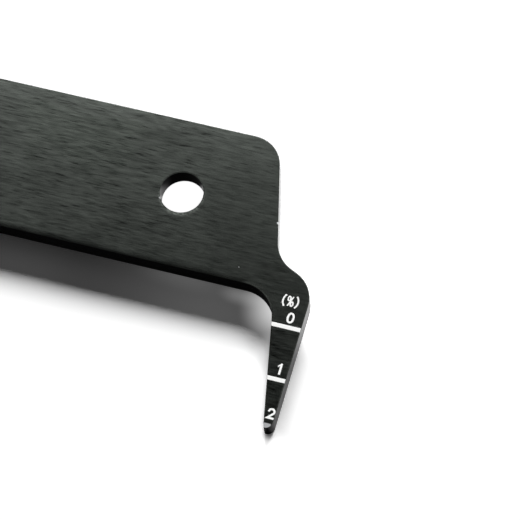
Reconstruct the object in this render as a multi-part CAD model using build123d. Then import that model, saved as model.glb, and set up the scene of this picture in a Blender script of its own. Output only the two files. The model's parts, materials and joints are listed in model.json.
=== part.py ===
from build123d import *
from math import atan, degrees, radians, tan
import os

# Chain wear gauge: one flat plate that lies on its plain back face.
# All sizes are in millimetres and all angles are in degrees.
# Origin: the axis of the hanging hole, where it leaves the back face.
# +X runs along the bar towards the probe, +Y points away from the probe,
# and +Z leaves the marked face.

# Plate
plate_thickness = 2.0
edge_break = 0.08

# Hanging hole
hole_diameter = 3.9

# Bar, measured from the axis of the hanging hole
hole_to_upper_edge = 6.88
hole_to_lower_edge = 6.99
hole_to_sloped_end = 8.94
end_slope = 14.6
bar_corner_radius = 2.9

# Shoulder, where the sloped end swings out to the probe
hole_to_shoulder = 5.79
shoulder_slope = 23.6
shoulder_radius = 3.0

# Cutter whose radius every hollow corner of the outline takes
cutter_radius = 3.2

# Chain that the gauge is made for
chain_pitch = 12.7
pitches_spanned = 8
roller_diameter = 7.75
link_plate_height = 8.2
wear_per_line = 0.01

# Probe, a wedge whose outer edge stands square to the bar
hole_to_probe_edge = 13.82
width_at_zero_line = 2.68
tip_width = 0.75
tip_flat = 0.12
tip_bevel_length = 0.33
tip_bevel_depth = 0.3

# Graduation lines, engraved across the probe
lower_edge_to_zero_line = 3.15
line_spacing = 4.89
line_width = 0.41
line_depth = 0.05

# Reference tooth, which bears on the roller at the far end of the span
tooth_width = 4.0
tooth_length = 8.0
tooth_end_radius = 1.5

# Each line stands for one more step of wear over the whole span, so the
# lean of the probe's inner edge follows from the spacing of the lines.
wear_step = wear_per_line * pitches_spanned * chain_pitch
inner_edge_lean = wear_step / line_spacing

upper_edge_y = hole_to_upper_edge
lower_edge_y = -hole_to_lower_edge
zero_line_y = lower_edge_y - lower_edge_to_zero_line
one_line_y = zero_line_y - line_spacing
probe_length_below_zero = (width_at_zero_line - tip_width) / inner_edge_lean
tip_y = zero_line_y - probe_length_below_zero


def inner_edge_x(y):
    """Place along the bar of the probe's inner edge at the height y."""
    zero_x = hole_to_probe_edge - width_at_zero_line
    return zero_x + inner_edge_lean * (zero_line_y - y)


def sloped_end_x(y):
    """Place along the bar of its sloped end at the height y."""
    return hole_to_sloped_end - tan(radians(end_slope)) * y


def shoulder_start():
    """Corner where the sloped end meets the shoulder's own slope."""
    fall = tan(radians(shoulder_slope))
    lean = tan(radians(end_slope))
    rise = fall * (hole_to_probe_edge - hole_to_sloped_end)
    y = (rise - hole_to_shoulder) / (1 - fall * lean)
    return sloped_end_x(y), y


# On a new chain the zero line is level with the edge of the link plates,
# so the probe bears on its roller half a link plate further down.
contact_y = zero_line_y - link_plate_height / 2
outside_span = pitches_spanned * chain_pitch + roller_diameter
tooth_face_x = inner_edge_x(contact_y) - outside_span
tooth_back_x = tooth_face_x - tooth_width
tooth_end_y = lower_edge_y - tooth_length


def rounded_outline(corners):
    """Close a polygon through the corners and round each by its radius."""
    points = [point for point, radius in corners]
    outline = make_face(Polyline(*points, close=True))
    for point, radius in corners:
        if radius > 0:
            corner = outline.vertices().sort_by_distance(Vector(*point))[0]
            outline = fillet(corner, radius)
    return outline


def gauge_outline():
    """Bar, probe and reference tooth seen from the marked face."""
    return rounded_outline(
        [
            ((tooth_back_x, upper_edge_y), bar_corner_radius),
            ((sloped_end_x(upper_edge_y), upper_edge_y), bar_corner_radius),
            (shoulder_start(), cutter_radius),
            ((hole_to_probe_edge, -hole_to_shoulder), shoulder_radius),
            ((hole_to_probe_edge, tip_y), tip_width - tip_flat),
            ((inner_edge_x(tip_y), tip_y), 0),
            ((inner_edge_x(lower_edge_y), lower_edge_y), cutter_radius),
            ((tooth_face_x, lower_edge_y), cutter_radius),
            ((tooth_face_x, tooth_end_y), tooth_end_radius),
            ((tooth_back_x, tooth_end_y), tooth_end_radius),
        ]
    )


def plate_blank():
    """The outline and its hole as a plate with every sharp edge broken."""
    profile = gauge_outline() - Circle(hole_diameter / 2)
    blank = extrude(profile, plate_thickness)
    faces = blank.faces().sort_by(Axis.Z)
    return chamfer(faces[0].edges() + faces[-1].edges(), edge_break)


def tip_bevel():
    """Wedge that takes the marked face's edge off the probe's tip."""
    bevel = Polyline(
        (tip_y + tip_bevel_length, plate_thickness),
        (tip_y, plate_thickness - tip_bevel_depth),
        (tip_y - tip_bevel_length, plate_thickness - 2 * tip_bevel_depth),
        (tip_y - tip_bevel_length, plate_thickness + tip_bevel_depth),
        (tip_y + tip_bevel_length, plate_thickness + tip_bevel_depth),
        close=True,
    )
    side = Plane.YZ.offset(inner_edge_x(tip_y) - tip_width)
    return extrude(side * make_face(bevel), 3 * tip_width)


def graduation_line(y):
    """Shallow groove across the whole probe, centred on the height y."""
    left = inner_edge_x(y) - line_width
    right = hole_to_probe_edge + line_width
    floor = plate_thickness - line_depth
    groove = Box(
        right - left,
        line_width,
        2 * line_depth,
        align=(Align.MIN, Align.CENTER, Align.MIN),
    )
    return Pos(left, y, floor) * groove


def gauge_plate():
    """The finished gauge."""
    plate = plate_blank() - tip_bevel()
    for y in (zero_line_y, one_line_y):
        plate -= graduation_line(y)
    return plate


os.makedirs("parts", exist_ok=True)
plate = gauge_plate()
plate.label = "gauge_plate"
export_step(plate, "parts/gauge_plate.step")

lean_angle = degrees(atan(inner_edge_lean))
print(f"inner edge leans {lean_angle:.2f} degrees, tip at y = {tip_y:.2f}")
print(f"overall length {hole_to_probe_edge - tooth_back_x:.2f}")
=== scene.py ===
import json
import math
import bpy
import numpy as np
from bpy.props import FloatProperty, FloatVectorProperty, IntProperty, PointerProperty
from mathutils import Matrix, Vector


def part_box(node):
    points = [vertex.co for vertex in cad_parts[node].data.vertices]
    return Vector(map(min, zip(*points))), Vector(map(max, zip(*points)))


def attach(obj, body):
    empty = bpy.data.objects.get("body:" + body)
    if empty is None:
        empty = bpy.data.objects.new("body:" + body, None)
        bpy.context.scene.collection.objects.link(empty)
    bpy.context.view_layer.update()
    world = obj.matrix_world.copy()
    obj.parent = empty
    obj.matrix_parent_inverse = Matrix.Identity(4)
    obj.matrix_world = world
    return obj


# Chain wear gauge: the finish of its black plate, the white marking on its
# probe, and the studio that it is seen in.
# Lengths are in metres and angles in radians, unless a name or a comment says
# otherwise.
# The frame is the plate's own: the origin is the axis of the hanging hole at
# the back face, +X runs along the bar to the probe and +Z leaves the marked
# face.

bl_info = {
    "name": "Chain wear gauge",
    "version": (1, 0, 0),
    "blender": (4, 5, 0),
    "location": "3D View > Sidebar > Gauge",
    "description": "Finish and marking of a black plate gauge, with its studio",
    "category": "Object",
}

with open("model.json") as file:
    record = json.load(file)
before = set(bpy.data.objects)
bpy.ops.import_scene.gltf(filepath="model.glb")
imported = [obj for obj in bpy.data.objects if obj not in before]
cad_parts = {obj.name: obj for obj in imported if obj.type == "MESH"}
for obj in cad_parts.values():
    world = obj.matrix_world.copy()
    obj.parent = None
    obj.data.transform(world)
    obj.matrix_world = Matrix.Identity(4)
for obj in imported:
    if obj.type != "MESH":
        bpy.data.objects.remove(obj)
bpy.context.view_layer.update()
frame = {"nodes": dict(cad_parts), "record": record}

MM = 0.001
BODY = "root"
PLATE = "gauge_plate"

plate_low, plate_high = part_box(PLATE)
FACE_Z = plate_high.z
PROBE_EDGE_X = plate_high.x
TIP_Y = plate_low.y


def mount(name):
    """The mount of that name in the frame's record."""
    return next(m for m in frame["record"]["mounts"] if m["name"] == name)


# The probe's inner edge leans. The wedge mount gives a point on it and its
# normal, and the lean is the edge's step along X for each step down along Y.
wedge_point = Vector(mount("wedge_face")["pos_m"])
wedge_normal = Vector(mount("wedge_face")["axis"])
EDGE_LEAN = wedge_normal.y / wedge_normal.x
HOLE_RADIUS = mount("hang_hole")["dims"]["r_mm"] * MM

# Nicks where the black is gone, in millimetres: x, y and z of the middle,
# and the radius.
NICKS = {
    "on the edge of the sloped end": (9.13, -0.82, 1.96, 0.11),
    "on the hole's rim": (-1.71, -0.98, 1.95, 0.1),
    "a speck on the face above the shoulder": (6.95, -5.7, 2.0, 0.03),
}

# A painted highlight lightens the face along the hole's rim, most in the part
# of the face that lies nearest to this point.
RIM_HIGHLIGHT_POINT = (0.07 * MM, -0.25 * MM, 2.0 * MM)

# Stretches in millimetres over which the finish and its painted light change
# smoothly. The first four run along Y: painted sheen makes the face lighter
# towards the bar's upper edge and beside it, painted shade makes it dark on
# its lower edge, and the upper edge is duller.
SHEEN_TOWARDS_EDGE = (4.3, 6.8)
SHEEN_BESIDE_EDGE = (6.3, 6.75)
SHADE_ON_LOWER_EDGE = (-7.0, -6.45)
DULL_UPPER_EDGE = (3.0, 4.0)
# The painted shade on the lower edge runs along X from the reference tooth
# to the probe.
TOOTH_END_OF_SHADE = (-96.5, -95.0)
PROBE_END_OF_SHADE = (7.0, 8.3)
# Along Y, the walls that face +X are sealed thinly from below the zero line
# up, and well from the shoulder up.
THIN_SEAL = (-13.5, -11.0)
FULL_SEAL = (-7.5, -5.5)
# The grain grows calmer along X towards the probe, and strong along Y towards
# the probe's lines.
CALM_GRAIN = (-2.0, 7.0)
STRONG_GRAIN = (-10.5, -8.5)
# The floor grows plain white with the distance from the hanging hole.
FAR_FLOOR = (140.0, 300.0)

# Soft oval patches of painted light on the floor, which the floor shows
# itself and no lamp casts: the x and y of the middle and the two half widths
# in millimetres, the tone that the patch adds for the camera, and the tone
# that it adds in the gloss of the walls as a painted reflection. The patch
# with a negative tone is a painted shadow.
PAINTED_LIGHT_PATCHES = {
    "in the inner corner": (11.6, -7.6, 4.4, 4.4, 0.72, 0.0),
    "beside the inner corner": (7.6, -7.5, 2.6, 1.2, 0.1, 0.0),
    "under the bar near the hole": (2.0, -7.0, 5.5, 1.6, 0.03, 0.0),
    "wide, below the bar": (5.5, -9.0, 14.0, 14.0, 0.052, 0.0),
    "long, below the bar": (-13.0, -9.6, 12.0, 3.0, 0.02, 0.0),
    "right of the probe": (14.4, -8.8, 3.6, 3.6, 0.6, 0.6),
    "left of the zero line": (11.3, -11.7, 1.8, 1.8, 0.25, 0.0),
    "left of the one line": (10.6, -15.3, 4.2, 4.2, 0.6, 0.0),
    "left of the tip": (11.3, -19.0, 4.0, 4.0, 0.6, 0.0),
    "below the tip": (13.2, -21.6, 3.4, 3.4, 1.0, 0.0),
    "dark, under the tip": (13.35, -19.4, 0.8, 0.8, -0.5, 0.0),
    "left in the hole": (-1.7, 0.5, 0.8, 0.8, 0.0, 0.3),
    "lower left in the hole": (-1.8, -0.1, 0.4, 0.4, 0.0, 0.5),
    "right in the hole": (1.1, 1.5, 0.5, 0.5, 0.0, 0.6),
}


def inner_edge_x(y):
    """Place along X of the probe's leaning inner edge at the height y."""
    return wedge_point.x + EDGE_LEAN * (wedge_point.y - y)


def length_property(name, description, millimetres):
    """A length that a user can change, with its default in millimetres."""
    return FloatProperty(
        name=name, description=description, default=millimetres * MM, unit="LENGTH"
    )


def place_property(name, description, x, y):
    """A place on the marked face, with its default in millimetres."""
    return FloatVectorProperty(
        name=name,
        description=description,
        size=2,
        subtype="XYZ",
        unit="LENGTH",
        default=(x * MM, y * MM),
    )


def angle_property(name, description, degrees):
    """An angle that a user can change, with its default in degrees."""
    return FloatProperty(
        name=name,
        description=description,
        default=math.radians(degrees),
        subtype="ANGLE",
    )


def share_property(name, description, share):
    """A share from 0 to 1."""
    return FloatProperty(
        name=name, description=description, default=share, min=0, max=1, subtype="FACTOR"
    )


def colour_property(name, description, red, green, blue):
    """A colour without an alpha."""
    return FloatVectorProperty(
        name=name,
        description=description,
        subtype="COLOR",
        default=(red, green, blue),
        min=0,
        max=1,
    )


class GaugeMarking(bpy.types.PropertyGroup):
    """Sizes, places and colour of the lines and figures on the probe."""

    chain_pitch: length_property(
        "Chain pitch", "Distance from one roller of the chain to the next", 12.7
    )
    pitches_spanned: IntProperty(
        name="Pitches spanned",
        description="Number of pitches between the tooth and the probe",
        default=8,
    )
    wear_per_line: share_property(
        "Wear per line", "Share of its length that the chain gains from line to line", 0.01
    )
    link_plate_height: length_property(
        "Link plate height", "Height of the chain's plates, read against the lines", 8.2
    )
    line_width: length_property("Line width", "Width of each engraved line", 0.41)
    line_depth: length_property("Line depth", "Depth of each engraved line", 0.05)
    line_inset: length_property(
        "Line inset", "Distance from the probe's edge to the end of a line's white", 0.03
    )
    figure_height: length_property("Figure height", "Height of the figures", 1.02)
    figure_width: length_property("Figure width", "Width of the figures 0 and 2", 0.68)
    stroke: length_property("Stroke", "Width of the figures' strokes", 0.185)
    thin_stroke: length_property(
        "Thin stroke", "Width of the strokes of the percent sign", 0.125
    )
    bracket_stroke: length_property(
        "Bracket stroke", "Width of the strokes of the brackets", 0.15
    )
    film: length_property("Film", "Thickness of the marking above the face", 0.01)
    percent_place: place_property(
        "Percent place", "Middle of the percent sign", 12.222, -7.728
    )
    zero_place: place_property("Zero place", "Middle of the figure 0", 12.65, -9.246)
    one_place: place_property("One place", "Middle of the stem of the 1", 13.094, -14.045)
    two_place: place_property("Two place", "Middle of the figure 2", 13.435, -18.185)
    colour: colour_property("Colour", "Colour of the marking", 0.92, 0.925, 0.915)


class GaugeFinish(bpy.types.PropertyGroup):
    """Colours and grain of the anodised plate."""

    colour: colour_property(
        "Colour", "Colour that the anodised face reflects", 0.0475, 0.0525, 0.0475
    )
    wall_colour: colour_property(
        "Wall colour", "Colour of the milled walls", 0.001, 0.0011, 0.0014
    )
    bare_colour: colour_property(
        "Bare colour", "Colour of the aluminium where the black is gone", 0.64, 0.65, 0.66
    )
    metallic: share_property("Metallic", "Share of the face that shines as metal", 0.95)
    roughness: share_property("Roughness", "Roughness of the brushed face", 0.215)
    wall_roughness: share_property("Wall roughness", "Roughness of the walls", 0.22)
    bare_roughness: share_property("Bare roughness", "Roughness of bare metal", 0.35)
    dull_roughness: share_property(
        "Dull roughness", "Roughness of the chamfer along the upper edge", 0.6
    )
    grain_length: length_property("Grain length", "Length of a streak of the grain", 1.9)
    grain_width: length_property("Grain width", "Width of a streak of the grain", 0.24)
    grain_contrast: FloatProperty(
        name="Grain contrast",
        description="How much the streaks of the grain differ in brightness",
        default=2.8,
        min=0,
    )
    tip_bevel_length: length_property(
        "Tip bevel length", "Length along the probe of the bare bevel at its tip", 0.33
    )
    tip_bevel_depth: length_property("Tip bevel depth", "Depth of that bevel", 0.3)


class GaugeStudio(bpy.types.PropertyGroup):
    """Camera, lamps and floor."""

    aim: FloatVectorProperty(
        name="Aim",
        description="Point on the marked face in the middle of the picture",
        subtype="XYZ",
        unit="LENGTH",
        default=(8.555 * MM, -4.607 * MM, 2.0 * MM),
    )
    distance: length_property("Distance", "Distance from the aim to the camera", 285.954)
    azimuth: angle_property(
        "Azimuth", "Turn of the camera about +Z, from looking along +Y", 25.8404
    )
    elevation: angle_property(
        "Elevation", "Height of the camera above the horizon", 66.1695
    )
    roll: angle_property(
        "Roll", "Turn of the camera about its own line of sight", -10.7628
    )
    lens_mm: FloatProperty(
        name="Lens", description="Focal length, in millimetres", default=226.273
    )
    key_azimuth: angle_property(
        "Key azimuth", "Turn of the key lamp about +Z, from looking along +Y", 182
    )
    key_elevation: angle_property(
        "Key elevation", "Height of the key lamp above the floor", 24.3
    )
    key_distance: length_property("Key distance", "Distance of the key lamp", 1200)
    key_width: length_property("Key width", "Width of the key lamp's oval", 780)
    key_height: length_property("Key height", "Height of the key lamp's oval", 335)
    key_level: FloatProperty(
        name="Key level",
        description="Tone that the key lamp alone gives to a white floor",
        default=1.08,
        min=0,
    )
    gloss_azimuth: angle_property(
        "Gloss azimuth", "Turn about +Z of the panel that shines in the face", 194
    )
    gloss_elevation: angle_property(
        "Gloss elevation", "Height of that panel above the floor", 55.9
    )
    gloss_distance: length_property("Gloss distance", "Distance of that panel", 337)
    gloss_width: length_property("Gloss width", "Width of that panel", 283)
    gloss_height: length_property("Gloss height", "Height of that panel", 104)
    gloss_level: FloatProperty(
        name="Gloss level",
        description="Tone that the panel alone would give to a white surface facing it",
        default=0.189,
        min=0,
    )
    floor_size: length_property("Floor size", "Length of the floor's sides", 3000)
    floor_colour: colour_property("Floor colour", "Colour of the floor", 0.8, 0.8, 0.8)
    floor_gain: FloatProperty(
        name="Floor gain",
        description="How much brighter the floor looks than its colour",
        default=1.35,
        min=1,
    )
    dim_level: share_property(
        "Dim level", "Strength of the light from all round that falls on the gauge", 0.045
    )
    ceiling_level: share_property(
        "Ceiling level", "Strength of the ceiling in the gauge's gloss", 0.4
    )
    card_level: share_property(
        "Card level", "Strength of the dark card in the gauge's gloss", 0.02
    )


def direction(azimuth, elevation):
    """Unit vector at an azimuth from -Y towards +X and at an elevation."""
    level = math.cos(elevation)
    return Vector(
        (math.sin(azimuth) * level, -math.cos(azimuth) * level, math.sin(elevation))
    )


class Wire:
    """One output of a shader node. It takes part in sums as a number does."""

    def __init__(self, tree, socket):
        self.tree = tree
        self.socket = socket

    def maths(self, operation, first, second=0.0):
        values = {0: first, 1: second}
        return add_node(self.tree, "ShaderNodeMath", {"operation": operation}, values)

    def __add__(self, other):
        return self.maths("ADD", self, other)

    def __sub__(self, other):
        return self.maths("SUBTRACT", self, other)

    def __rsub__(self, other):
        return self.maths("SUBTRACT", other, self)

    def __mul__(self, other):
        return self.maths("MULTIPLY", self, other)

    def __lt__(self, other):
        return self.maths("LESS_THAN", self, other)

    def __abs__(self):
        return self.maths("ABSOLUTE", self)

    def most(self, other):
        return self.maths("MAXIMUM", self, other)

    __radd__ = __add__
    __rmul__ = __mul__


def add_node(tree, kind, settings=None, inputs=None, output=0):
    """Add a node of a kind, set it up, feed its sockets and give one output.

    The settings are the node's own properties. The inputs are numbers,
    colours or wires, by the socket's name or place.
    """
    node = tree.nodes.new(kind)
    for name, value in (settings or {}).items():
        setattr(node, name, value)
    for name, value in (inputs or {}).items():
        if isinstance(value, Wire):
            tree.links.new(value.socket, node.inputs[name])
        else:
            node.inputs[name].default_value = value
    return Wire(tree, node.outputs[output])


def opaque(colour):
    """A colour with an alpha of 1."""
    return (*colour, 1.0)


def mix_colours(tree, factor, first, second):
    """Blend two colours by a factor from 0 to 1."""
    settings = {"data_type": "RGBA"}
    inputs = {0: factor, 6: first, 7: second}
    return add_node(tree, "ShaderNodeMix", settings, inputs, output=2)


def ramp(tree, value, low, high, first=0.0, last=1.0):
    """Go smoothly from first to last as a value goes from low to high."""
    settings = {"interpolation_type": "SMOOTHSTEP"}
    inputs = {0: value, 1: low, 2: high, 3: first, 4: last}
    return add_node(tree, "ShaderNodeMapRange", settings, inputs)


def along(tree, place, stretch, first=0.0, last=1.0):
    """Go smoothly from first to last over a stretch, given in millimetres."""
    start, end = stretch
    return ramp(tree, place, start * MM, end * MM, first, last)


def split(tree, vector):
    """The X, Y and Z of a vector."""
    kind, inputs = "ShaderNodeSeparateXYZ", {"Vector": vector}
    return [add_node(tree, kind, None, inputs, axis) for axis in range(3)]


def distance_to(tree, place, point):
    """Distance from a wired place to a fixed point."""
    return add_node(
        tree,
        "ShaderNodeVectorMath",
        {"operation": "DISTANCE"},
        {0: place, 1: point},
        output="Value",
    )


def reach_from(tree, place, middle, half_widths):
    """Distance on the floor from an oval's middle, which is 1 at its rim."""
    scale = [1 / half for half in half_widths]
    shift = [-at / half for at, half in zip(middle, half_widths)]
    inputs = {0: place, 1: (*scale, 0), 2: (*shift, 0)}
    vector = add_node(tree, "ShaderNodeVectorMath", {"operation": "MULTIPLY_ADD"}, inputs)
    length = {"operation": "LENGTH"}
    return add_node(tree, "ShaderNodeVectorMath", length, {0: vector}, output="Value")


def streaks(tree, place, sizes, seed=0.0, detail=1.0):
    """Noise about 0.5, drawn out to a size along each axis."""
    scale = {"operation": "MULTIPLY_ADD"}
    inputs = {0: place, 1: [1 / size for size in sizes], 2: (seed, seed, seed)}
    vector = add_node(tree, "ShaderNodeVectorMath", scale, inputs)
    noise = {"Vector": vector, "Scale": 1.0, "Detail": detail, "Roughness": 0.5}
    return add_node(tree, "ShaderNodeTexNoise", None, noise, output="Fac")


def new_material(name):
    """An empty material and its node tree."""
    material = bpy.data.materials.new(name)
    material.use_nodes = True
    material.node_tree.nodes.clear()
    return material, material.node_tree


def finish_tree(tree, shader, kind="ShaderNodeOutputMaterial"):
    """Lead a shader to the tree's output."""
    output = tree.nodes.new(kind)
    tree.links.new(shader.socket, output.inputs["Surface"])


def brushed_grain(tree, place, look):
    """Brightness of the brushed face, about 1, and the fine streaks in it.

    Long and short streaks along X add up, faint patches lie under them, and a
    few streaks are cut deeper and are darker.
    """
    long, wide = look.grain_length, look.grain_width
    broad = streaks(tree, place, (long, wide, wide))
    fine = streaks(tree, place, (long / 2, wide / 2, wide / 2), seed=7.0)
    patches = streaks(tree, place, (2 * long, 12 * wide, 12 * wide), seed=3.0)
    cuts = streaks(tree, place, (0.7 * long, 0.5 * wide, wide), seed=15.0)
    cut_from, cut_full, cut_depth = 0.58, 0.72, 0.5
    cuts = ramp(tree, cuts, cut_from, cut_full, 0.0, cut_depth)
    broad_share, fine_share, patch_share = 0.42, 0.33, 0.2
    spread = broad * broad_share + fine * fine_share + patches * patch_share
    spread = spread - (broad_share + fine_share + patch_share) / 2
    x, y = split(tree, place)[:2]
    calm, strong, mean_light = 0.65, 1.3, 1.03
    contrast = along(tree, x, CALM_GRAIN, 1.0, calm)
    contrast = contrast.most(along(tree, y, STRONG_GRAIN, strong, 0.0))
    return mean_light + (spread * look.grain_contrast - cuts) * contrast, fine


def rim_highlight(tree, place):
    """How much lighter the face is where a painted highlight lies on the hole's rim.

    The painted highlight fades out from the hole and is patchy along its rim.
    """
    inner, outer, lightest = 0.9 * HOLE_RADIUS, 1.14 * HOLE_RADIUS, 1.3
    reach = distance_to(tree, place, RIM_HIGHLIGHT_POINT)
    # Here wear holds the painted highlight on the rim.
    wear = ramp(tree, reach, inner, outer, lightest, 0.0)
    patchy = streaks(tree, place, (0.25 * MM, 0.15 * MM, 0.15 * MM), seed=21.0)
    patch_from, patch_full, least, most = 0.35, 0.65, 0.3, 1.7
    return wear * ramp(tree, patchy, patch_from, patch_full, least, most)


def lower_edge_shade(tree, x, y):
    """Painted shade on the bar's lower edge, dark between the tooth and the probe."""
    dark = 0.25
    tone = along(tree, y, SHADE_ON_LOWER_EDGE, dark, 1.0)
    tone = tone.most(along(tree, x, PROBE_END_OF_SHADE))
    return tone.most(along(tree, x, TOOTH_END_OF_SHADE, 1.0, 0.0))


def wall_seal(tree, y, normal_x):
    """How glossy the seal is on the walls that face +X."""
    thin, more = 0.16, 0.64
    seal = along(tree, y, THIN_SEAL, 0.0, thin) + along(tree, y, FULL_SEAL, 0.0, more)
    facing_from, facing_full = 0.7, 0.9
    return seal * ramp(tree, normal_x, facing_from, facing_full)


def bare_places(tree, place, normal_z, look):
    """Mask of the tip's bevel and the nicks, where the black is gone.

    The bevel is known by its slope, and the nicks have ragged edges.
    """
    slope = math.hypot(look.tip_bevel_length, look.tip_bevel_depth)
    bevel_z = look.tip_bevel_length / slope
    slack_z, slack_y = 0.02, 0.01 * MM
    on_bevel = abs(normal_z - bevel_z) < slack_z
    y = split(tree, place)[1]
    bare = on_bevel * (y < TIP_Y + look.tip_bevel_length + slack_y)
    least_ragged, ragged_spread = 0.6, 0.8
    ragged = streaks(tree, place, (0.05 * MM,) * 3, seed=5.0)
    ragged = ragged * ragged_spread + least_ragged
    for *middle, radius in NICKS.values():
        reach = distance_to(tree, place, [at * MM for at in middle]) * ragged
        bare = bare.most(reach < radius * MM)
    return bare


def anodised_material(look):
    """Black anodised aluminium, brushed along X, with milled walls.

    What looks up or down is brushed face, chamfers too, and the rest is
    milled wall. The black is gone at the nicks and on the tip's bevel. The
    face's colour also holds painted light: a painted highlight on the hole's
    rim, a painted sheen towards the bar's upper edge and painted shade along
    its lower edge.
    """
    material, tree = new_material("black_anodised")
    place = add_node(tree, "ShaderNodeTexCoord", output="Object")
    normal = add_node(tree, "ShaderNodeTexCoord", output="Normal")
    x, y = split(tree, place)[:2]
    normal_x, normal_y, normal_z = split(tree, normal)
    tilted, facing = 0.6, 0.7
    face = ramp(tree, abs(normal_z), tilted, facing)
    dull = ramp(tree, normal_y, tilted, facing) * along(tree, y, DULL_UPPER_EDGE)
    bare = bare_places(tree, place, normal_z, look)
    grain, fine = brushed_grain(tree, place, look)
    # Painted sheen: the face is painted lighter towards the bar's upper edge and just
    # beside it.
    towards_edge, beside_edge = 0.2, 0.13
    upper = along(tree, y, SHEEN_TOWARDS_EDGE, 0.0, towards_edge)
    upper = upper + along(tree, y, SHEEN_BESIDE_EDGE, 0.0, beside_edge)
    # The face's brightness holds the grain together with painted light: the rim's painted
    # highlight, the painted sheen and the painted shade.
    light = grain * (1 + rim_highlight(tree, place) + upper) * lower_edge_shade(tree, x, y)
    shade = add_node(
        tree,
        "ShaderNodeVectorMath",
        {"operation": "SCALE"},
        {0: look.colour, "Scale": light},
    )
    colour = mix_colours(tree, face, opaque(look.wall_colour), shade)
    colour = mix_colours(tree, bare, colour, opaque(look.bare_colour))
    cutter_marks = streaks(tree, place, (3 * MM, 3 * MM, 0.3 * MM), seed=9.0)
    brushed_spread, milled_spread = 0.06, 0.2
    brushed = look.roughness + (fine - 0.5) * brushed_spread
    milled = look.wall_roughness + (cutter_marks - 0.5) * milled_spread
    rough = face * brushed + (1 - face) * milled
    rough = rough + dull * (look.dull_roughness - rough)
    rough = rough + bare * (look.bare_roughness - rough)
    bump = add_node(
        tree,
        "ShaderNodeBump",
        None,
        {"Height": fine * face, "Strength": 0.3, "Distance": 0.002 * MM},
    )
    shader = add_node(
        tree,
        "ShaderNodeBsdfPrincipled",
        None,
        {
            "Base Color": colour,
            "Metallic": (face * look.metallic).most(bare),
            "Roughness": rough,
            "IOR": 1.12,
            "Coat Weight": (1 - face) * wall_seal(tree, y, normal_x),
            "Coat Roughness": 0.1,
            "Coat IOR": 1.5,
            "Normal": bump,
        },
    )
    finish_tree(tree, shader)
    return material


def marking_material(marking):
    """Matt white marking with a slight speckle.

    Each line was cut in two passes, which leave a faint seam along it.
    """
    material, tree = new_material("white_marking")
    place = add_node(tree, "ShaderNodeTexCoord", output="Object")
    speckle = streaks(tree, place, (0.08 * MM,) * 3, detail=2.0)
    y = split(tree, place)[1]
    seam_core, seam_edge, seam_depth = 0.01 * MM, 0.04 * MM, 0.8
    seam = 0.0
    for line in line_places(marking):
        seam = ramp(tree, abs(y - line), seam_core, seam_edge, seam_depth, 0.0) + seam
    grey_tone, speckle_share = 0.9, 0.4
    grey = tuple(grey_tone * value for value in marking.colour)
    grey_share = speckle * speckle_share + seam
    colour = mix_colours(tree, grey_share, opaque(marking.colour), opaque(grey))
    least_rough, rough_spread = 0.45, 0.2
    rough = speckle * rough_spread + least_rough
    shader = add_node(
        tree,
        "ShaderNodeBsdfPrincipled",
        None,
        {"Base Color": colour, "Roughness": rough, "IOR": 1.45},
    )
    finish_tree(tree, shader)
    return material


def mesh_object(name, points, faces, material):
    """A mesh object of that name, at the origin, from arrays."""
    mesh = bpy.data.meshes.new(name)
    mesh.from_pydata(points, [], faces)
    mesh.validate()
    mesh.materials.append(material)
    piece = bpy.data.objects.new(name, mesh)
    bpy.context.scene.collection.objects.link(piece)
    return piece


def grid_faces(rows, columns, closed_rows=False, closed_columns=False):
    """Corners of the faces between the points of a grid, row by row."""
    row = np.arange(rows if closed_rows else rows - 1)
    column = np.arange(columns if closed_columns else columns - 1)
    row, column = (part.ravel() for part in np.meshgrid(row, column, indexing="ij"))
    next_row, next_column = (row + 1) % rows, (column + 1) % columns
    corners = [
        row * columns + column,
        next_row * columns + column,
        next_row * columns + next_column,
        row * columns + next_column,
    ]
    return np.stack(corners, axis=-1)


def film_between(left, right, low, high, closed=False):
    """A thin closed film between two rails, as points and faces.

    At a share v of the way across, the point is (1 - v) times the left rail
    plus v times the right one. The section goes up the left rail, across
    the top and down the right rail, and the bottom closes it. The film
    stands from low to high, and its top corners are cut off a little.
    """
    corner_across, corner_height = 0.06, 0.7
    across = np.array([0.0, 0.0, corner_across, 1 - corner_across, 1.0, 1.0])
    height = np.array([0.0, corner_height, 1.0, 1.0, corner_height, 0.0])
    flat = (1 - across)[None, :, None] * left[:, None, :]
    flat = flat + across[None, :, None] * right[:, None, :]
    level = np.broadcast_to(low + (high - low) * height, flat.shape[:2])
    points = np.concatenate([flat, level[..., None]], axis=-1)
    rows, columns = level.shape
    faces = grid_faces(rows, columns, closed, True).tolist()
    if not closed:
        faces.append(list(range(columns)))
        faces.append([(rows - 1) * columns + i for i in reversed(range(columns))])
    return points.reshape(-1, 3), faces


def rails(path, width, closed=False):
    """Two rails at half a width to either side of a flat path.

    At each point the rail stands off along the mean of the two neighbouring
    normals, lengthened so that both runs keep their full width.
    """
    if closed:
        before, after = np.roll(path, 1, axis=0), np.roll(path, -1, axis=0)
    else:
        before = np.vstack([2 * path[:1] - path[1:2], path[:-1]])
        after = np.vstack([path[1:], 2 * path[-1:] - path[-2:-1]])
    runs = np.stack([path - before, after - path])
    runs = runs / np.linalg.norm(runs, axis=-1, keepdims=True)
    normals = np.stack([-runs[..., 1], runs[..., 0]], axis=-1)
    mean = normals.sum(axis=0)
    mitre = 2 * mean / (mean**2).sum(axis=-1, keepdims=True)
    return path + mitre * width / 2, path - mitre * width / 2


def arc(centre, radius, start, end, steps=24):
    """Points of a circle's arc, (r cos t, r sin t), t in degrees."""
    t = np.radians(np.linspace(start, end, steps + 1))
    return np.array(centre) + radius * np.stack([np.cos(t), np.sin(t)], axis=-1)


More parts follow.
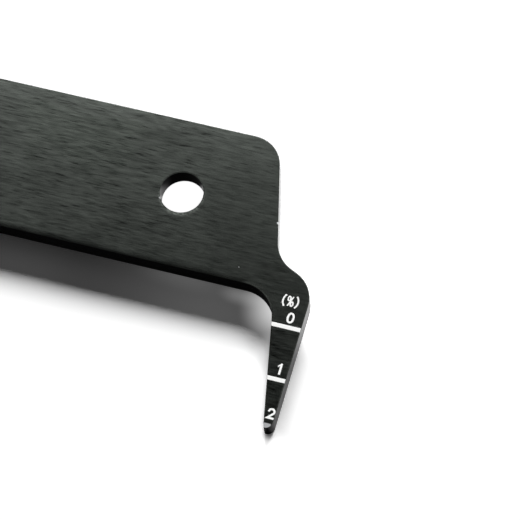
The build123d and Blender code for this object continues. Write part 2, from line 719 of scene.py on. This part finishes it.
def oval(centre, radii, power=2.3, steps=48):
    """Points of a closed superellipse, with each term to the power 2 / n."""
    t = np.linspace(0, 2 * np.pi, steps, endpoint=False)
    ring = np.stack([np.cos(t), np.sin(t)], axis=-1)
    return np.array(centre) + radii * np.sign(ring) * np.abs(ring) ** (2 / power)


def zero_figure(marking):
    """A closed oval stroke."""
    size = np.array([marking.figure_width, marking.figure_height])
    ring = oval(marking.zero_place, (size - marking.stroke) / 2)
    return [(*rails(ring, marking.stroke, True), True)]


def one_figure(marking):
    """An upright stem with a flag, as one film between two bent rails.

    The flag starts on top of the stem and falls to the left. The left rail
    runs under the flag and turns down the stem at the crook.
    """
    x, y = marking.one_place
    half, stroke = marking.figure_height / 2, marking.stroke
    left, right = x - stroke / 2, x + stroke / 2
    top, foot = y + half, y - half
    flag_start, flag_end = left + 0.2 * stroke, left - stroke
    flag_upper, flag_lower = top - 1.3 * stroke, top - 2.1 * stroke
    crook, below_crook = top - 1.2 * stroke, top - 2 * stroke
    left_rail = [(flag_end, flag_lower), (left, crook), (left, below_crook), (left, foot)]
    right_rail = [(flag_end, flag_upper), (flag_start, top), (right, top), (right, foot)]
    return [(np.array(left_rail), np.array(right_rail), False)]


def two_figure(marking):
    """A hook that runs into a slope, and a foot.

    The hook is an arc of a circle, which the slope leaves almost as its
    tangent. The arc's ends are in degrees.
    """
    x, y = marking.two_place
    inner = (marking.figure_height - marking.stroke) / 2
    radius = (marking.figure_width - marking.stroke) / 2
    hook_start, hook_end = 185, -38
    hook = arc((x, y + inner - radius), radius, hook_start, hook_end)
    foot = [(x - radius, y - inner), (x + radius + marking.stroke / 2, y - inner)]
    return [(*rails(np.vstack([hook, foot]), marking.stroke), False)]


def percent_sign(marking):
    """Two small ovals and a slash between round brackets."""
    middle = np.array(marking.percent_place)
    thin, height = marking.thin_stroke, marking.figure_height
    bracket_radius, bracket_angle = 0.81 * height, 42
    bracket_reach, ring_offset = 0.665 * height, (0.15 * height, -0.23 * height)
    ring_radii = np.array([0.105, 0.195]) * height
    slash = np.array([0.175, 0.46]) * height
    films = [(*rails(np.array([middle - slash, middle + slash]), thin), False)]
    for side, turn in ((-1, 180), (1, 0)):
        centre = middle + (side * (bracket_reach - bracket_radius), 0)
        bow = arc(centre, bracket_radius, turn - bracket_angle, turn + bracket_angle)
        films.append((*rails(bow, marking.bracket_stroke), False))
        ring = oval(middle + side * np.array(ring_offset), ring_radii)
        films.append((*rails(ring, thin, True), True))
    return films


def line_places(marking):
    """Heights of the zero line and the one line.

    The probe bears on its roller half a link plate below the zero line, and
    the inner edge moves by one step of wear from each line to the next.
    """
    zero = wedge_point.y + marking.link_plate_height / 2
    step = marking.wear_per_line * marking.pitches_spanned * marking.chain_pitch
    return zero, zero - step / EDGE_LEAN


def add_piece(name, points, faces, material):
    """A marking on the plate, which moves with it."""
    piece = mesh_object(name, points, faces, material)
    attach(piece, BODY)
    return piece


def white_paint(marking):
    """The marking's material, made on its first use."""
    return bpy.data.materials.get("white_marking") or marking_material(marking)


class GAUGE_OT_plate_finish(bpy.types.Operator):
    """Give the plate its brushed black anodised finish"""

    bl_idname = "gauge.plate_finish"
    bl_label = "Finish the plate"

    def execute(self, context):
        plate = frame["nodes"][PLATE]
        material = anodised_material(context.scene.gauge_finish)
        plate.data.materials.clear()
        plate.data.materials.append(material)
        return {"FINISHED"}


class GAUGE_OT_lines(bpy.types.Operator):
    """Fill the two engraved lines across the probe with white"""

    bl_idname = "gauge.lines"
    bl_label = "Fill the lines"

    def execute(self, context):
        marking = context.scene.gauge_marking
        # The white goes a tenth deeper than the groove, into the plate.
        bottom = FACE_Z - 1.1 * marking.line_depth
        right = PROBE_EDGE_X - marking.line_inset
        for name, y in zip(("zero_line", "one_line"), line_places(marking)):
            rail_heights = (y + marking.line_width / 2, y - marking.line_width / 2)
            upper, lower = (
                np.array([(inner_edge_x(at) + marking.line_inset, at), (right, at)])
                for at in rail_heights
            )
            points, faces = film_between(upper, lower, bottom, FACE_Z)
            add_piece(name, points, faces, white_paint(marking))
        return {"FINISHED"}


class GAUGE_OT_figures(bpy.types.Operator):
    """Mark the figures 0, 1 and 2 and the percent sign on the probe"""

    bl_idname = "gauge.figures"
    bl_label = "Mark the figures"

    def execute(self, context):
        marking = context.scene.gauge_marking
        low, high = FACE_Z - marking.film, FACE_Z + marking.film
        shapes = {
            "figure_zero": zero_figure(marking),
            "figure_one": one_figure(marking),
            "figure_two": two_figure(marking),
            "percent_sign": percent_sign(marking),
        }
        for name, films in shapes.items():
            points, faces = np.zeros((0, 3)), []
            for left, right, closed in films:
                more, corners = film_between(left, right, low, high, closed)
                faces += [[len(points) + i for i in face] for face in corners]
                points = np.vstack([points, more])
            add_piece(name, points, faces, white_paint(marking))
        return {"FINISHED"}


def seen_rays(tree, with_gloss=True):
    """1 for a ray from the camera, and for one that gloss or glass sends."""
    kinds = ["Is Camera Ray"] + ["Is Glossy Ray", "Is Transmission Ray"] * with_gloss
    rays = [add_node(tree, "ShaderNodeLightPath", output=kind) for kind in kinds]
    seen = rays[0]
    for ray in rays[1:]:
        seen = seen.most(ray)
    return seen


def floor_material(studio):
    """A pale floor, which shows to the camera and in gloss as bright white.

    Light that the floor scatters on to the gauge has its plain level. The
    camera sees painted light on the floor: white behind the hanging hole and
    soft patches about the probe, with one patch of painted shadow under the
    tip. The gloss sees its own few patches of painted light, which show as
    painted reflections in the walls.
    """
    material, tree = new_material("studio_floor")
    bright = tuple(studio.floor_gain * value for value in studio.floor_colour)
    plain, shown = (
        add_node(tree, "ShaderNodeBsdfDiffuse", None, {"Color": opaque(colour)})
        for colour in (studio.floor_colour, bright)
    )
    place = add_node(tree, "ShaderNodeTexCoord", output="Object")
    reach = distance_to(tree, place, (0, 0, 0))
    far = along(tree, reach, FAR_FLOOR)
    # Painted light: the floor behind the hanging hole shows white to the camera, and
    # faintly in gloss, where the plate's shadow falls.
    spot, spot_edge, spot_gloss = 1.3 * HOLE_RADIUS, 1.35 * HOLE_RADIUS, 0.03
    hole_painted_light = 1 - ramp(tree, reach, spot, spot_edge)
    for_camera, in_gloss = hole_painted_light, hole_painted_light * spot_gloss
    for x, y, half_x, half_y, level, gloss_level in PAINTED_LIGHT_PATCHES.values():
        half_widths = (half_x * MM, half_y * MM)
        reach = reach_from(tree, place, (x * MM, y * MM), half_widths)
        patch = ramp(tree, reach, 0, 1, 1.0, 0.0)
        if level:
            for_camera = for_camera + patch * level
        if gloss_level:
            in_gloss = in_gloss + patch * gloss_level
    camera = seen_rays(tree, with_gloss=False)
    # The lift is painted light and painted shadow on the floor, for the camera and in
    # gloss.
    painted_light = camera * for_camera + (1 - camera) * in_gloss
    white = add_node(tree, "ShaderNodeEmission", None, {"Strength": far.most(painted_light)})
    shown = add_node(tree, "ShaderNodeAddShader", None, {0: shown, 1: white})
    sides = {0: seen_rays(tree), 1: plain, 2: shown}
    finish_tree(tree, add_node(tree, "ShaderNodeMixShader", None, sides))
    return material


def flat_floor(size, steps=24):
    """A square grid of points about the origin, just under the gauge.

    The point (x, y, -gap) runs over x and y from -size / 2 to size / 2.
    """
    gap = 0.01 * MM
    span = np.linspace(-size / 2, size / 2, steps + 1)
    x, y = np.meshgrid(span, span, indexing="xy")
    points = np.stack([x.ravel(), y.ravel(), np.full(x.size, -gap)], axis=-1)
    return points, grid_faces(steps + 1, steps + 1)[:, ::-1].tolist()


def add_panel_lamp(name, towards, distance, shape, size, level):
    """A flat lamp that faces the origin from a direction.

    The level is the tone that the lamp alone gives to a white surface that
    faces it: the power is then pi squared, times the level, times the
    distance squared.
    """
    lamp = bpy.data.lights.new(name, "AREA")
    lamp.shape = shape
    lamp.size, lamp.size_y = size
    lamp.energy = level * (math.pi * distance) ** 2
    item = bpy.data.objects.new(name, lamp)
    item.location = towards * distance
    item.rotation_mode = "QUATERNION"
    item.rotation_quaternion = towards.to_track_quat("Z", "Y")
    item.visible_camera = False
    bpy.context.scene.collection.objects.link(item)
    return item


def make_world(studio):
    """Dim light from all round, behind a white horizon.

    The gloss of the walls and the face sees the white horizon, a grey ceiling
    and, round the panel that shines in the face, a dark card.
    """
    world = bpy.data.worlds.new("studio_world")
    world.use_nodes = True
    tree = world.node_tree
    tree.nodes.clear()
    seen = seen_rays(tree)
    sight = add_node(tree, "ShaderNodeTexCoord", output="Generated")
    height = split(tree, sight)[2]
    camera = seen_rays(tree, with_gloss=False)
    back = direction(studio.azimuth, studio.elevation)
    card = add_node(
        tree,
        "ShaderNodeVectorMath",
        {"operation": "DOT_PRODUCT"},
        {0: sight, 1: (-back.x, -back.y, back.z)},
        output="Value",
    )
    card_edge, card_core, horizon_top, ceiling = 0.927, 0.985, 0.3, 0.6
    card = ramp(tree, card, card_edge, card_core)
    room = ramp(tree, height, horizon_top, ceiling, 1.0, studio.ceiling_level)
    room = (room + card * (studio.card_level - room)).most(camera)
    strength = seen * room + (1 - seen) * studio.dim_level
    background = add_node(tree, "ShaderNodeBackground", None, {"Strength": strength})
    finish_tree(tree, background, "ShaderNodeOutputWorld")
    bpy.context.scene.world = world


class GAUGE_OT_studio(bpy.types.Operator):
    """Set up the floor, the lamps and the camera"""

    bl_idname = "gauge.studio"
    bl_label = "Set up the studio"

    def execute(self, context):
        studio = context.scene.gauge_studio
        points, faces = flat_floor(studio.floor_size)
        floor = mesh_object("studio_floor", points, faces, floor_material(studio))
        add_panel_lamp(
            "key_lamp",
            direction(studio.key_azimuth, studio.key_elevation),
            studio.key_distance,
            "ELLIPSE",
            (studio.key_width, studio.key_height),
            studio.key_level / math.sin(studio.key_elevation),
        )
        panel = add_panel_lamp(
            "gloss_panel",
            direction(studio.gloss_azimuth, studio.gloss_elevation),
            studio.gloss_distance,
            "RECTANGLE",
            (studio.gloss_width, studio.gloss_height),
            studio.gloss_level,
        )
        panel.visible_diffuse = False
        make_world(studio)
        place_camera(studio)
        context.scene.view_settings.view_transform = "Standard"
        return {"FINISHED"}


def place_camera(studio):
    """Look at the aim along the line of sight, with the given roll."""
    back = direction(studio.azimuth, studio.elevation)
    level_right = Vector((0, 0, 1)).cross(back).normalized()
    level_up = back.cross(level_right)
    right = level_right * math.cos(studio.roll) + level_up * math.sin(studio.roll)
    up = back.cross(right)
    camera = bpy.data.cameras.new("camera")
    camera.lens = studio.lens_mm
    camera.sensor_width = 36
    camera.clip_start, camera.clip_end = 0.01, 20
    item = bpy.data.objects.new("camera", camera)
    place = Vector(studio.aim) + back * studio.distance
    turn = Matrix((right, up, back)).transposed().to_4x4()
    item.matrix_world = Matrix.Translation(place) @ turn
    bpy.context.scene.collection.objects.link(item)
    bpy.context.scene.camera = item


OPERATORS = (
    GAUGE_OT_plate_finish,
    GAUGE_OT_lines,
    GAUGE_OT_figures,
    GAUGE_OT_studio,
)


class GAUGE_PT_panel(bpy.types.Panel):
    """Buttons for the gauge's finish, marking and studio"""

    bl_idname = "GAUGE_PT_panel"
    bl_label = "Chain wear gauge"
    bl_space_type = "VIEW_3D"
    bl_region_type = "UI"
    bl_category = "Gauge"

    def draw(self, context):
        scene = context.scene
        for group in (scene.gauge_marking, scene.gauge_finish, scene.gauge_studio):
            box = self.layout.box()
            for name in group.__annotations__:
                box.prop(group, name)
        for operator in OPERATORS:
            self.layout.operator(operator.bl_idname)


GROUPS = {
    "gauge_marking": GaugeMarking,
    "gauge_finish": GaugeFinish,
    "gauge_studio": GaugeStudio,
}
CLASSES = (*GROUPS.values(), *OPERATORS, GAUGE_PT_panel)


def register():
    for item in CLASSES:
        bpy.utils.register_class(item)
    for name, group in GROUPS.items():
        setattr(bpy.types.Scene, name, PointerProperty(type=group))


def unregister():
    for name in GROUPS:
        delattr(bpy.types.Scene, name)
    for item in reversed(CLASSES):
        bpy.utils.unregister_class(item)


def main():
    """Dress the gauge and set up its studio."""
    register()
    bpy.ops.gauge.plate_finish()
    bpy.ops.gauge.lines()
    bpy.ops.gauge.figures()
    bpy.ops.gauge.studio()


if __name__ == "__main__":
    main()
